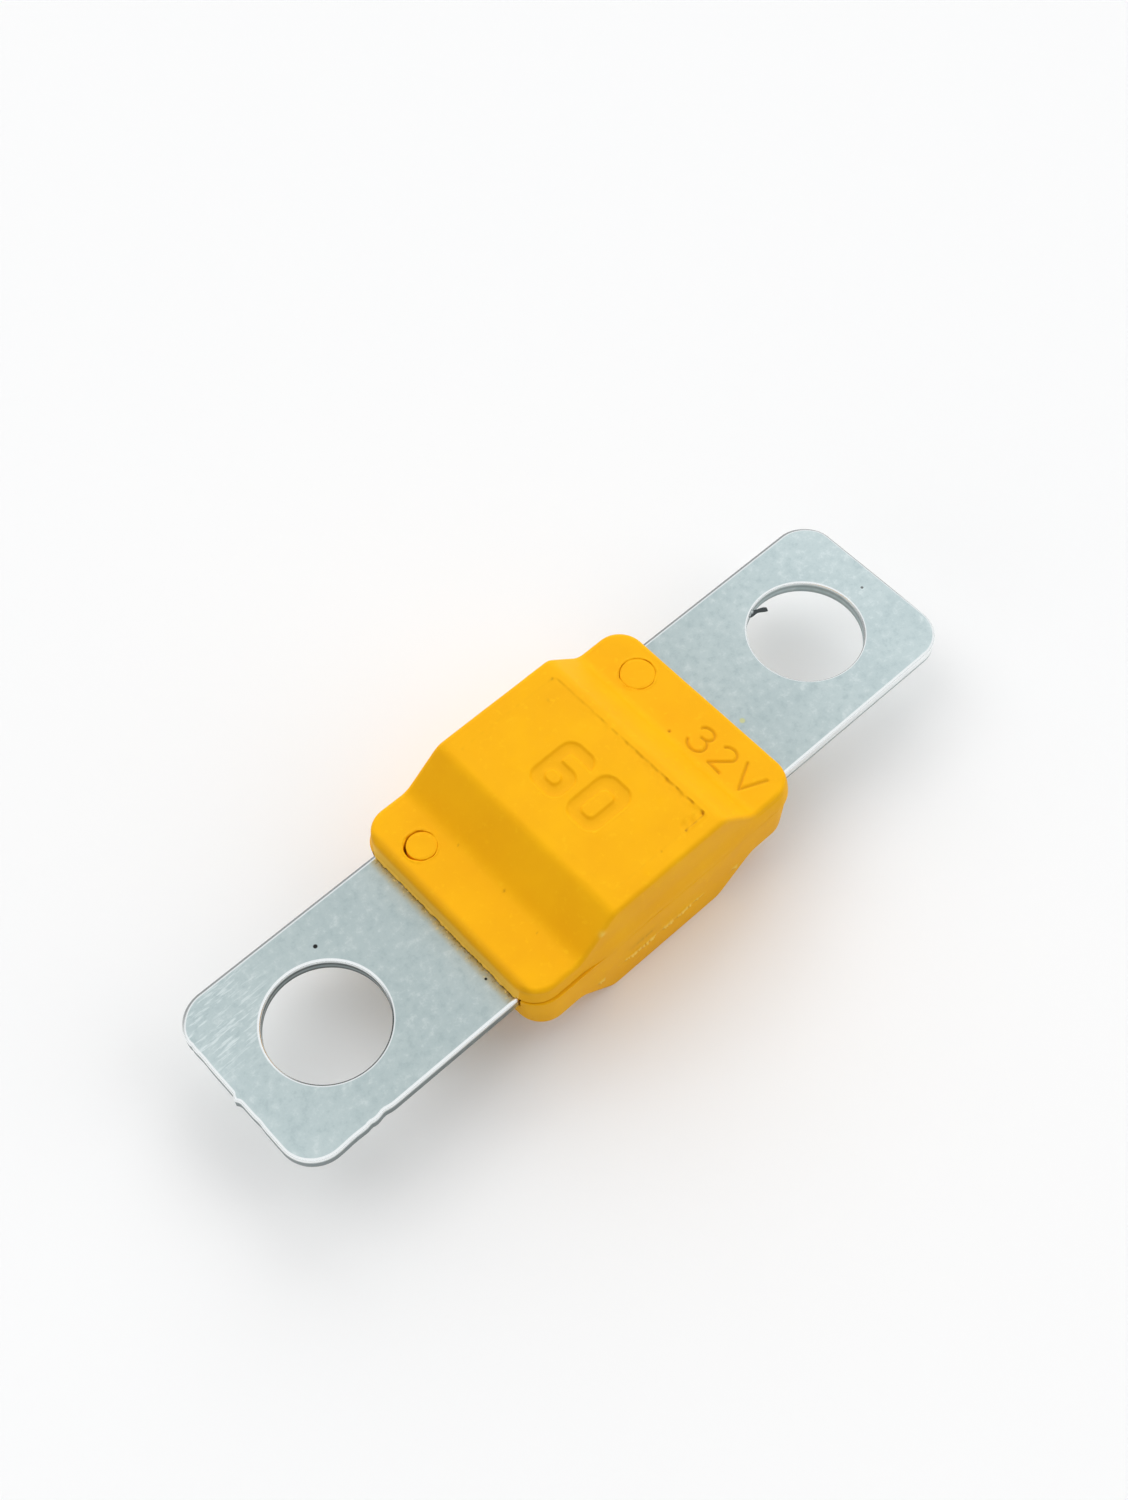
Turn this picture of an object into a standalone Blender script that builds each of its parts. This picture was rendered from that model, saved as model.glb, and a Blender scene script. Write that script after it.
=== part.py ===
"""Bolt down strip fuse: a stamped metal strip with a bolt hole in each tab, held between two moulded shells.

Metres, +Z up, X along the strip. The origin is under the middle of the fuse, in the plane of its underside.
"""

import math

import bmesh
import bpy

MM = 0.001

# The strip: one stamping, with a bolt hole in each tab.
BOLT_SPACING = 30.0 * MM
BOLT_HOLE_DIAMETER = 5.72 * MM
TAB_REACH = 5.0 * MM  # from a bolt hole's centre to the end of its tab
STRIP_WIDTH = 9.75 * MM
STRIP_THICKNESS = 0.75 * MM
STRIP_CORNER_RADIUS = 1.7 * MM
STRIP_EDGE_RADIUS = 0.06 * MM

# The fusible neck in the middle of the strip.
SHOULDER_REACH = 0.95 * MM  # how far each tab's full width reaches into the arc chamber
NECK_WIDTH = 2.4 * MM
NECK_FILLET = 0.7 * MM
WAIST_WIDTH = 1.4 * MM
WAIST_LENGTH = 1.8 * MM

# The housing: two shells that meet on a flat parting plane and take the strip between them.
HOUSING_LENGTH = 16.6 * MM
HOUSING_WIDTH = 12.12 * MM
RIM_STEP = 0.12 * MM  # how far the lower shell's side stands proud of the upper one's
CORNER_RADIUS = 1.4 * MM
END_DRAFT = math.radians(6.0)
UPPER_SIDE_DRAFT = math.radians(2.0)
LOWER_SIDE_DRAFT = math.radians(1.0)
LOWER_FLANGE_HEIGHT = 2.35 * MM
UPPER_FLANGE_HEIGHT = 1.05 * MM
BLOCK_RISE = 1.92 * MM  # from a shell's flange up to the face of its raised block
FLANGE_LENGTH = 2.95 * MM  # from a shell's end to the foot of its block
SLOPE_LENGTH = 1.97 * MM  # from the foot of the block's slope to its crest, along X
FOOT_RADIUS = 0.6 * MM
CREST_RADIUS = 0.5 * MM
EDGE_RADIUS = 0.22 * MM
WALL = 1.1 * MM
CHAMBER_RADIUS = 0.4 * MM

# Each shell has two pins on one side, which pass through the strip and end flush in the other shell.
PIN_INSET = 1.55 * MM  # from the housing's end to a pin's centre
PIN_OFFSET = 3.25 * MM
PIN_DIAMETER = 1.6 * MM

# Clearances
SEAT_GAP = 0.05 * MM  # between faces that rest on each other
STRIP_SIDE_GAP = 0.1 * MM
PIN_GAP = 0.12 * MM

STRIP_LENGTH = BOLT_SPACING + 2 * TAB_REACH
LOWER_HEIGHT = LOWER_FLANGE_HEIGHT + BLOCK_RISE
UPPER_HEIGHT = UPPER_FLANGE_HEIGHT + BLOCK_RISE
UPPER_WIDTH = HOUSING_WIDTH - 2 * RIM_STEP
FOOT_X = HOUSING_LENGTH / 2 - FLANGE_LENGTH
CREST_X = FOOT_X - SLOPE_LENGTH
PIN_X = HOUSING_LENGTH / 2 - PIN_INSET
SLOPE = math.atan2(BLOCK_RISE, SLOPE_LENGTH)
PARTING_HEIGHT = LOWER_HEIGHT
SEAT_DEPTH = STRIP_THICKNESS + 2 * SEAT_GAP
CHAMBER_WIDTH = UPPER_WIDTH - 2 * WALL
# The chamber's end at the parting plane, one wall inside the upper shell's slope.
CHAMBER_X = CREST_X + (UPPER_HEIGHT * math.cos(SLOPE) - WALL) / math.sin(SLOPE)

ARC_STEP = math.radians(15)
HOLE_STEPS = 64
PIN_STEPS = 32
OVERRUN = 1.0 * MM  # how far a cutter reaches past what it cuts


def clear_scene():
    for item in list(bpy.data.objects):
        bpy.data.objects.remove(item, do_unlink=True)


def new_collection(name):
    made = bpy.data.collections.new(name)
    bpy.context.scene.collection.children.link(made)
    return made


def new_material(name, colour, roughness, metallic):
    made = bpy.data.materials.new(name)
    made.use_nodes = True
    shader = made.node_tree.nodes["Principled BSDF"]
    shader.inputs["Base Color"].default_value = (*colour, 1.0)
    shader.inputs["Roughness"].default_value = roughness
    shader.inputs["Metallic"].default_value = metallic
    return made


def rounded(corners):
    """The outline through (x, y, radius) corners, with an arc at each corner that has a radius."""
    outline = []
    for index, (x, y, radius) in enumerate(corners):
        before, after = corners[index - 1], corners[(index + 1) % len(corners)]
        inward = math.atan2(before[1] - y, before[0] - x)
        outward = math.atan2(after[1] - y, after[0] - x)
        opening = (outward - inward + math.pi) % (2 * math.pi) - math.pi
        if radius == 0 or abs(abs(opening) - math.pi) < 1e-6:
            outline.append((x, y))
            continue
        reach = radius / math.sin(abs(opening) / 2)
        middle = inward + opening / 2
        centre = (x + reach * math.cos(middle), y + reach * math.sin(middle))
        sweep = math.copysign(math.pi - abs(opening), opening)
        first = middle + math.pi + sweep / 2
        steps = max(2, math.ceil(abs(sweep) / ARC_STEP))
        for step in range(steps + 1):
            angle = first - sweep * step / steps
            outline.append((centre[0] + radius * math.cos(angle), centre[1] + radius * math.sin(angle)))
    return outline


def circle(x, y, radius, steps):
    turn = 2 * math.pi / steps
    return [(x + radius * math.cos(turn * i), y + radius * math.sin(turn * i)) for i in range(steps)]


def flat_solid(name, outlines, thickness, collection):
    """A plate in the XY plane, centred on it: the first outline is its rim and the others are holes."""
    curve = bpy.data.curves.new(name, "CURVE")
    curve.dimensions = "2D"
    curve.fill_mode = "BOTH"
    curve.extrude = thickness / 2
    for outline in outlines:
        spline = curve.splines.new("POLY")
        spline.points.add(len(outline) - 1)
        for point, (x, y) in zip(spline.points, outline):
            point.co = (x, y, 0.0, 1.0)
        spline.use_cyclic_u = True
    drawn = bpy.data.objects.new(name + "_outline", curve)
    bpy.context.scene.collection.objects.link(drawn)
    graph = bpy.context.evaluated_depsgraph_get()
    mesh = bpy.data.meshes.new_from_object(drawn.evaluated_get(graph))
    bpy.data.objects.remove(drawn, do_unlink=True)
    welded = bmesh.new()
    welded.from_mesh(mesh)
    bmesh.ops.remove_doubles(welded, verts=welded.verts, dist=1e-7)
    bmesh.ops.recalc_face_normals(welded, faces=welded.faces)
    welded.to_mesh(mesh)
    welded.free()
    mesh.name = name
    made = bpy.data.objects.new(name, mesh)
    collection.objects.link(made)
    return made


def side_solid(name, outline, width, collection):
    """A prism across the fuse: the outline is in X and Z, and the width is along Y."""
    made = flat_solid(name, [outline], width, collection)
    made.rotation_euler.x = math.pi / 2
    return made


def box(name, low, high, collection):
    shape = bmesh.new()
    bmesh.ops.create_cube(shape, size=1.0)
    for vert in shape.verts:
        vert.co = [(a + b) / 2 + c * (b - a) for a, b, c in zip(low, high, vert.co)]
    return mesh_object(name, shape, collection)


def upright_cylinder(name, x, y, low, high, diameter, collection):
    shape = bmesh.new()
    bmesh.ops.create_cone(
        shape, cap_ends=True, segments=PIN_STEPS, radius1=diameter / 2, radius2=diameter / 2, depth=high - low
    )
    bmesh.ops.translate(shape, vec=(x, y, (low + high) / 2), verts=shape.verts)
    return mesh_object(name, shape, collection)


def mesh_object(name, shape, collection):
    mesh = bpy.data.meshes.new(name)
    shape.to_mesh(mesh)
    shape.free()
    made = bpy.data.objects.new(name, mesh)
    collection.objects.link(made)
    return made


def combine(target, tool, operation):
    """Cuts, joins or intersects the target with a tool that is carried by it and isn't shown."""
    tool.parent = target
    tool.hide_render = True
    tool.display_type = "WIRE"
    modifier = target.modifiers.new(tool.name, "BOOLEAN")
    modifier.operation = operation
    modifier.solver = "EXACT"
    modifier.object = tool


def soften(target, radius, segments):
    """Rounds the sharp edges and leaves the shallow ones between an arc's facets."""
    modifier = target.modifiers.new("edge_rounding", "BEVEL")
    modifier.width = radius
    modifier.segments = segments
    modifier.limit_method = "ANGLE"
    modifier.angle_limit = math.radians(35)


def finish(target, material):
    target.data.materials.clear()
    target.data.materials.append(material)
    target.data.shade_smooth()
    target.data.set_sharp_from_angle(angle=math.radians(35))


def fuse_strip(collection, material):
    """The stamping: two tabs with their bolt holes, four pin holes and the narrow neck that melts."""
    end, side = STRIP_LENGTH / 2, STRIP_WIDTH / 2
    shoulder, neck = CHAMBER_X - SHOULDER_REACH, NECK_WIDTH / 2
    notch, waist = WAIST_LENGTH / 2, WAIST_WIDTH / 2
    corners = []
    for turn in (1, -1):
        corners += [
            (turn * end, -turn * side, STRIP_CORNER_RADIUS),
            (turn * end, turn * side, STRIP_CORNER_RADIUS),
            (turn * shoulder, turn * side, NECK_FILLET),
            (turn * shoulder, turn * neck, NECK_FILLET),
            (turn * notch, turn * neck, NECK_FILLET),
            (0, turn * waist, NECK_FILLET),
            (-turn * notch, turn * neck, NECK_FILLET),
            (-turn * shoulder, turn * neck, NECK_FILLET),
            (-turn * shoulder, turn * side, NECK_FILLET),
        ]
    outlines = [rounded(corners)]
    for x in (-BOLT_SPACING / 2, BOLT_SPACING / 2):
        outlines.append(circle(x, 0, BOLT_HOLE_DIAMETER / 2, HOLE_STEPS))
    for x in (-PIN_X, PIN_X):
        for y in (-PIN_OFFSET, PIN_OFFSET):
            outlines.append(circle(x, y, PIN_DIAMETER / 2 + PIN_GAP, PIN_STEPS))
    strip = flat_solid("fuse_strip", outlines, STRIP_THICKNESS, collection)
    strip.location.z = PARTING_HEIGHT - SEAT_GAP - STRIP_THICKNESS / 2
    soften(strip, STRIP_EDGE_RADIUS, 2)
    finish(strip, material)
    return strip


def side_profile(flange_height, height):
    """A shell seen from the side, from its parting plane outwards: flange, slope, raised block, slope, flange."""
    end = HOUSING_LENGTH / 2 + OVERRUN
    half = [
        (end, -OVERRUN, 0),
        (end, flange_height, 0),
        (FOOT_X, flange_height, FOOT_RADIUS),
        (CREST_X, height, CREST_RADIUS),
    ]
    return rounded(half + [(-x, z, radius) for x, z, radius in reversed(half)])


def chamber_profile(height):
    """The arc chamber seen from the side: it keeps one wall thickness inside the slopes and the block's face."""
    crest = CREST_X - WALL * math.tan(SLOPE / 2)
    bend = height - UPPER_HEIGHT
    half = [
        (CHAMBER_X, -OVERRUN, 0),
        (CHAMBER_X, bend, CHAMBER_RADIUS),
        (crest, height - WALL, CHAMBER_RADIUS),
    ]
    return rounded(half + [(-x, z, radius) for x, z, radius in reversed(half)])


def drafted_plan(name, width, height, side_draft, tools):
    """The shell's outline from above, drawn up along Z with the draft of its ends and sides."""
    shape = bmesh.new()
    bmesh.ops.create_cube(shape, size=1.0)
    low, high = -OVERRUN, height + OVERRUN
    for vert in shape.verts:
        vert.co = (vert.co.x * HOUSING_LENGTH, vert.co.y * width, high if vert.co.z > 0 else low)
    upright = [edge for edge in shape.edges if edge.verts[0].co.z != edge.verts[1].co.z]
    bmesh.ops.bevel(shape, geom=upright, offset=CORNER_RADIUS, segments=6, profile=0.5, affect="EDGES")
    for vert in shape.verts:
        vert.co.x -= math.copysign(1.0, vert.co.x) * vert.co.z * math.tan(END_DRAFT)
        vert.co.y -= math.copysign(1.0, vert.co.y) * vert.co.z * math.tan(side_draft)
    return mesh_object(name, shape, tools)


def housing_shell(
    name, width, side_draft, flange_height, mate_flange_height, seat_depth, collection, tools, material
):
    """One moulded shell in its own frame: the parting plane at Z = 0, and the wall above it."""
    height = flange_height + BLOCK_RISE
    reach = HOUSING_LENGTH / 2 + OVERRUN
    shell = side_solid(name, side_profile(flange_height, height), width + 2 * OVERRUN, collection)
    turn = shell.matrix_basis.copy()
    shell.data.transform(turn)
    shell.rotation_euler.x = 0

    combine(shell, drafted_plan(name + "_plan", width, height, side_draft, tools), "INTERSECT")
    soften(shell, EDGE_RADIUS, 3)
    below = box(name + "_trim", (-reach, -width, -3 * OVERRUN), (reach, width, 0), tools)
    combine(shell, below, "DIFFERENCE")
    chamber = side_solid(name + "_chamber", chamber_profile(height), CHAMBER_WIDTH, tools)
    combine(shell, chamber, "DIFFERENCE")
    if seat_depth:
        seat = STRIP_WIDTH / 2 + STRIP_SIDE_GAP
        slot = box(name + "_seat", (-reach, -seat, -OVERRUN), (reach, seat, seat_depth), tools)
        combine(shell, slot, "DIFFERENCE")
    for side in (-1, 1):
        x = side * PIN_X
        hole = upright_cylinder(
            f"{name}_pin_hole_{side}", x, PIN_OFFSET, -OVERRUN, flange_height + OVERRUN,
            PIN_DIAMETER + 2 * PIN_GAP, tools,
        )
        combine(shell, hole, "DIFFERENCE")
        root = (seat_depth + flange_height) / 2
        tip = -SEAT_GAP - mate_flange_height
        pin = upright_cylinder(f"{name}_pin_{side}", x, -PIN_OFFSET, tip, root, PIN_DIAMETER, tools)
        combine(shell, pin, "UNION")
    finish(shell, material)
    return shell


def main():
    clear_scene()
    pieces = new_collection("bolt_down_strip_fuse")
    tools = new_collection("cutters")
    plated = new_material("plated_metal", (0.56, 0.6, 0.62), 0.32, 1.0)
    yellow = new_material("yellow_plastic", (0.93, 0.46, 0.012), 0.5, 0.0)

    fuse_strip(pieces, plated)
    lower = housing_shell(
        "lower_housing", HOUSING_WIDTH, LOWER_SIDE_DRAFT, LOWER_FLANGE_HEIGHT, UPPER_FLANGE_HEIGHT, SEAT_DEPTH,
        pieces, tools, yellow,
    )
    lower.rotation_euler.x = math.pi
    lower.location.z = PARTING_HEIGHT
    upper = housing_shell(
        "upper_housing", UPPER_WIDTH, UPPER_SIDE_DRAFT, UPPER_FLANGE_HEIGHT, LOWER_FLANGE_HEIGHT, 0.0,
        pieces, tools, yellow,
    )
    upper.location.z = PARTING_HEIGHT + SEAT_GAP


main()
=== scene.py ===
"""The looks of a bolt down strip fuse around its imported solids: metres, +Z up, X along the strip.

Lengths inside the sections are in millimetres and become metres where a mesh is made.
"""

import math

import bmesh
import bpy
import numpy as np
from mathutils import Matrix, Vector
from mathutils.geometry import tessellate_polygon


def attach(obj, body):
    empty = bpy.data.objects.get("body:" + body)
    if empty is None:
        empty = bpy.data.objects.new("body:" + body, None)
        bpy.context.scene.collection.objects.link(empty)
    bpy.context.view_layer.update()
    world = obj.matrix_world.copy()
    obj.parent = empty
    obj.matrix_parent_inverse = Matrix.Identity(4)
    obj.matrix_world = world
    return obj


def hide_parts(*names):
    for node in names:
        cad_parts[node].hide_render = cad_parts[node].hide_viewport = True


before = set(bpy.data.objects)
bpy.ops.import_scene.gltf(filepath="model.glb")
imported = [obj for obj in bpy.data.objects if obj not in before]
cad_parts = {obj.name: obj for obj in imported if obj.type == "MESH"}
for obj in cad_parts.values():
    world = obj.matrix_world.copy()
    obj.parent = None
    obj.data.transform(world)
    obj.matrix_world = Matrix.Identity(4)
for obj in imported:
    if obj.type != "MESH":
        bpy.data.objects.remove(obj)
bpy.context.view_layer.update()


# The view: a phone held over the near tab, looking down along the strip. Its place, its turn and its lens
# were solved from the strip's outline and both bolt holes.
MM = 0.001
PHONE_PLACE = Vector((-29.657, -31.464, 83.017))
PHONE_RIGHT = Vector((0.73476862, -0.67830888, -0.00348411))
PHONE_DOWN = Vector((-0.58481451, -0.63087311, -0.50989323))
PHONE_AHEAD = Vector((0.34366707, 0.3766911, -0.86023064))
lens = bpy.data.cameras.new("phone")
lens.sensor_fit = "VERTICAL"
lens.sensor_height = 36.0
lens.lens = 46.914
lens.clip_start = 1 * MM
lens.clip_end = 10.0
camera = bpy.data.objects.new("phone", lens)
bpy.context.scene.collection.objects.link(camera)
turned = Matrix((PHONE_RIGHT, -PHONE_DOWN, -PHONE_AHEAD)).transposed().to_4x4()
camera.matrix_world = Matrix.Translation(PHONE_PLACE * MM) @ turned
bpy.context.scene.camera = camera


# The yellow plastic: a satin moulding compound, coloured right through, a little uneven in tone.
# It is paler where it is drawn thin and where light is painted on, darker where shade is painted,
# and has a few dark grains in its skin.
YELLOW = (0.905, 0.422, 0.0)
CLOUD_YELLOW = (0.95, 0.47, 0.001)
PORE_YELLOW = (0.955, 0.49, 0.004)
CREASE_BROWN = (0.5, 0.2, 0.002)
THIN_YELLOW = (1.0, 0.66, 0.12)
GRAIN_BROWN = (0.42, 0.12, 0.0)


def rgba(colour):
    """A colour for a socket: a wire as it is, and three numbers with an alpha of 1."""
    return colour if isinstance(colour, Wire) else (*colour, 1.0)


class Wire:
    """A material's socket. The operators add Math nodes, and node() adds any other one."""

    def __init__(self, tree, socket=None):
        self.tree, self.socket = tree, socket

    def node(self, kind, values=(), settings=(), out=0):
        """Adds a node: its settings or its ramp's (place, colour) stops first, then the values or links of
        its sockets, by name or number."""
        made = self.tree.nodes.new("ShaderNode" + kind)
        for name, value in dict(settings).items():
            if name == "stops":
                for element, (place, colour) in zip(made.color_ramp.elements, value, strict=True):
                    element.position, element.color = place, rgba(colour)
            else:
                setattr(made, name, value)
        for key, value in dict(values).items():
            if isinstance(value, Wire):
                self.tree.links.new(value.socket, made.inputs[key])
            else:
                made.inputs[key].default_value = value
        return Wire(self.tree, made.outputs[out])

    def attribute(self, name):
        """The values that were painted on the piece's points under this name."""
        return self.node("Attribute", {}, {"attribute_name": name}, out="Fac")

    def math(self, operation, first, second):
        return self.node("Math", {0: first, 1: second}, {"operation": operation})

    def __add__(self, other):
        return self.math("ADD", self, other)

    def __sub__(self, other):
        return self.math("SUBTRACT", self, other)

    def __rsub__(self, other):
        return self.math("SUBTRACT", other, self)

    def __mul__(self, other):
        return self.math("MULTIPLY", self, other)

    def __truediv__(self, other):
        return self.math("DIVIDE", self, other)

    __radd__, __rmul__ = __add__, __mul__

    def between(self, low, high):
        """0 where this is at low, 1 at high, and smooth in between; high may be the lesser one."""
        values = {"Value": self, "From Min": low, "From Max": high}
        return self.node("MapRange", values, {"interpolation_type": "SMOOTHSTEP"})

    def ramp(self, first, second):
        """A colour that goes from the first where this is 0.3 to the second where it is 0.7."""
        return self.node("ValToRGB", {0: self}, {"stops": [(0.3, first), (0.7, second)]})

    def mixed(self, first, second):
        """A colour between two others, by this value."""
        return self.node("Mix", {0: self, 6: rgba(first), 7: rgba(second)}, {"data_type": "RGBA"}, out=2)

    def times(self, colour):
        """This colour multiplied by another one."""
        settings = {"data_type": "RGBA", "blend_type": "MULTIPLY"}
        return self.node("Mix", {0: 1.0, 6: self, 7: rgba(colour)}, settings, out=2)


def new_material(name, constants):
    """A material whose shader has the constants set on its own sockets: (material, wires, shader)."""
    material = bpy.data.materials.new(name)
    material.use_nodes = True
    shader = material.node_tree.nodes["Principled BSDF"]
    for key, value in constants.items():
        shader.inputs[key].default_value = value
    return material, Wire(material.node_tree), shader


def feed(wires, shader, **sockets):
    """Links wires to the shader's sockets, whose names have _ for a space."""
    for key, wire in sockets.items():
        wires.tree.links.new(wire.socket, shader.inputs[key.replace("_", " ")])


def yellow_plastic():
    """Clouds about 2 mm across and pores about 0.3 mm across tint it, and a fine grain roughens its skin."""
    material, wires, shader = new_material("yellow_plastic", {"Specular IOR Level": 0.15})
    place = wires.node("TexCoord", out="Object")
    cloud = wires.node("TexNoise", {"Vector": place, "Scale": 420.0, "Detail": 3.0})
    grain = wires.node("TexNoise", {"Vector": place, "Scale": 9000.0, "Detail": 2.0})
    pores = wires.node("TexNoise", {"Vector": place, "Scale": 3200.0, "Detail": 3.0, "Roughness": 0.6})
    tone = cloud.ramp(YELLOW, CLOUD_YELLOW)
    tone = pores.between(0.56, 0.75).mixed(tone, PORE_YELLOW)
    # painted shade: darker in the sunk strokes and number, along the insert's line, in gaps, along the near
    # edge and by the flash
    tone = (wires.attribute("crease") * 0.7).mixed(tone, CREASE_BROWN)
    # paler where the plastic is drawn thin, and lighter where light and a highlight are painted on
    tone = wires.attribute("thin").mixed(tone, THIN_YELLOW)
    tone = wires.attribute("speck").mixed(tone, GRAIN_BROWN)
    rough = 0.46 + 0.12 * cloud + 0.1 * pores
    bump = wires.node("Bump", {"Strength": 0.5, "Distance": 0.006 * MM, "Height": grain * 0.35 + pores})
    feed(wires, shader, Base_Color=tone, Roughness=rough, Normal=bump)
    return material


yellow = yellow_plastic()


# The upper shell: a moulded cover with a raised block that holds the arc chamber. It lies on the lower
# shell, whose two pins come up through it on one side, and the rating is sunk into its faces.
LENGTH = 16.6
CORNER = 1.34  # radius of the flange's corners, seen from above
EDGE = 0.24  # radius of the outer edges
END_DRAFT = math.tan(math.radians(6))  # the ends' draft, as a slope
UPPER_DRAFT, LOWER_DRAFT = 2.0, 1.0  # the sides' drafts, in degrees
BLOCK_RISE = 1.92  # from a shell's flange to its block's face
FOOT = 5.35  # from the middle to the foot of the block's slope, along X
CREST = 3.38  # from the middle to the slope's crest
SLOPE = BLOCK_RISE / (FOOT - CREST)
FOOT_SOFT, CREST_SOFT = 0.34, 0.26  # how far to each side the foot and the crest are rounded
UPPER_WIDTH, UPPER_FLANGE = 11.88, 1.05
LOWER_WIDTH, LOWER_FLANGE = 12.12, 2.35
PARTING = 4.27  # the parting plane's height above the table
SEAT_GAP = 0.05  # between faces that rest on each other
SEAT_DEPTH = 0.85  # how deep the strip's seat is in the lower shell
SEAT_HALF = 4.975  # half the seat's width
WALL = 1.1  # thickness round the arc chamber
CHAMBER_SOFT = 0.15  # how far to each side its roof's crest is rounded
SLOPE_ANGLE = math.atan(SLOPE)
BLOCK_TOP = UPPER_FLANGE + BLOCK_RISE
CHAMBER_REACH = CREST + (BLOCK_TOP * math.cos(SLOPE_ANGLE) - WALL) / math.sin(SLOPE_ANGLE)  # along X
PIN_X, PIN_Y = 6.75, 3.25
PIN_HOLES = {-1: 0.77, 1: 0.86}  # the holes' radii, at the near end (-X) and the far one
PIN_SQUARE = 1.08  # half the side of the square round a pin hole
RIM_LEDGE = 0.25  # width of the level ledge inside the rim
RIM_CHAMFER, CRISPER = 0.045, 0.035  # the rim's chamfer, and how much less it is where the rim is crisp


def rising(s, soft):
    """A line that starts to rise at 0: flat before -soft, s after +soft, and a parabola between them."""
    part = np.clip((s + soft) / (2 * soft), 0, 1)
    return np.where(s > soft, s, soft * part**2)


def smooth(low, high, value):
    """0 below low, 1 above high, and the cubic 3t^2 - 2t^3 between them."""
    t = np.clip((value - low) / (high - low), 0, 1)
    return t * t * (3 - 2 * t)


def ridge(value, middle, width):
    """A bell curve, e to the -((value - middle) / width)^2: 1 at the middle, near 0 two widths away."""
    return np.exp(-((value - middle) / width) ** 2)


def rolling(x, y, size, seed):
    """A smooth uneven field of about -1 to 1: sine waves about `size` long in seeded directions."""
    draw = np.random.default_rng(seed)
    waves = zip(draw.uniform(0, 7, 8), draw.uniform(0, 7, 8), draw.uniform(0.6, 1.5, 8))
    total = 0
    for turn, phase, stretch in waves:
        total = total + np.sin(2 * np.pi * (x * np.cos(turn) + y * np.sin(turn)) / (size * stretch) + phase)
    return total / 4


def torn(t, seed):
    """A ragged strength from 0 to 1 along t: the sum of a long and a short rolling field."""
    return np.clip(0.5 + 0.45 * rolling(t, 0 * t, 0.9, seed) + 0.4 * rolling(t, 0 * t, 0.22, seed + 1), 0, 1)


def box_distance(x, y, low, high, radius):
    """The distance to a rectangle with rounded corners, from (x, y) low to high; negative inside."""
    dx = np.abs(x - (low[0] + high[0]) / 2) - (high[0] - low[0]) / 2 + radius
    dy = np.abs(y - (low[1] + high[1]) / 2) - (high[1] - low[1]) / 2 + radius
    return np.hypot(np.maximum(dx, 0), np.maximum(dy, 0)) + np.minimum(np.maximum(dx, dy), 0) - radius


def line_distance(x, y, points):
    """The distance to a line through the points: the least of those to its straight pieces."""
    nearest = np.full(np.shape(x), np.inf)
    for (ax, ay), (bx, by) in zip(points, points[1:]):
        squared = (bx - ax) ** 2 + (by - ay) ** 2
        along = np.clip(((x - ax) * (bx - ax) + (y - ay) * (by - ay)) / squared, 0, 1)
        nearest = np.minimum(nearest, np.hypot(x - ax - along * (bx - ax), y - ay - along * (by - ay)))
    return nearest


def arc(centre, radii, first, last):
    """Points on an ellipse between two angles in degrees."""
    turn = np.radians(np.linspace(first, last, 14))
    return list(zip(centre[0] + radii[0] * np.cos(turn), centre[1] + radii[1] * np.sin(turn)))


def lines(*stops):
    """Grid lines through (place, spacing) stops: each spacing holds up to the next place."""
    runs = []
    for (start, step), (end, _) in zip(stops, stops[1:]):
        runs.append(np.linspace(start, end, max(1, round((end - start) / step)), endpoint=False))
    return np.concatenate(runs + [[stops[-1][0]]])


def grid_faces(rows, columns, closed=False):
    """The quads between neighbouring points of a grid; closed joins the last column to the first."""
    index = np.arange(rows * columns).reshape(rows, columns)
    if closed:
        index = np.hstack([index, index[:, :1]])
    return np.stack([index[:-1, :-1], index[1:, :-1], index[1:, 1:], index[:-1, 1:]], -1).reshape(-1, 4)


def border(i0, i1, j0, j1, columns):
    """The points round a rectangle of a grid, in order: along j0, up i1, back along j1 and down i0."""
    i, j = np.arange(i0, i1), np.arange(j0, j1)
    return np.concatenate([
        i * columns + j0, i1 * columns + j, (i1 + i0 - i) * columns + j1, i0 * columns + (j1 + j0 - j),
    ])


def filled(outline, *holes):
    """A flat face: the area inside the outline and outside the holes, in triangles."""
    loops = [outline, *holes]
    return np.vstack(loops), tessellate_polygon([[Vector(p) for p in loop] for loop in loops])


def rings(*loops):
    """The wall between rings that have the same number of points."""
    return np.vstack(loops), grid_faces(len(loops), len(loops[0]), closed=True)


def at_height(flat, z):
    """Points of the plan, at one height or at a height each."""
    return np.column_stack([flat[:, 0], flat[:, 1], np.broadcast_to(z, len(flat))])


def block_height(x, flange):
    """A shell's profile: the flange, plus a line that rises from the foot and stops rising at the crest."""
    away = np.abs(x)
    return flange + SLOPE * (rising(FOOT - away, FOOT_SOFT) - rising(CREST - away, CREST_SOFT))


def rounded_plan(end, side, radius, x_steps, y_steps):
    """A grid over a rectangle with rounded corners: its lines along X and Y, and its points' x and y.

    A corner's block is mapped from a square to a quarter disc: (s, t) goes to
    (s sqrt(1 - t^2/2), t sqrt(1 - s^2/2)).
    """
    corner_x, corner_y = end - radius, side - radius
    first, last = x_steps[0][1], x_steps[-1][1]
    x_lines = lines((-end, first), (-corner_x, first), *x_steps, (corner_x, last), (end, last))
    first, last = y_steps[0][1], y_steps[-1][1]
    y_lines = lines((-side, first), *y_steps, (corner_y, last), (side, last))
    x, y = np.meshgrid(x_lines, y_lines, indexing="ij")
    s, t = np.clip(np.abs(x) - corner_x, 0, None) / radius, np.clip(np.abs(y) - corner_y, 0, None) / radius
    corner = (s > 0) & (t > 0)
    x = np.where(corner, np.sign(x) * (corner_x + radius * s * np.sqrt(1 - t * t / 2)), x)
    y = np.where(corner, np.sign(y) * (corner_y + radius * t * np.sqrt(1 - s * s / 2)), y)
    return x_lines, y_lines, x, y


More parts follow.
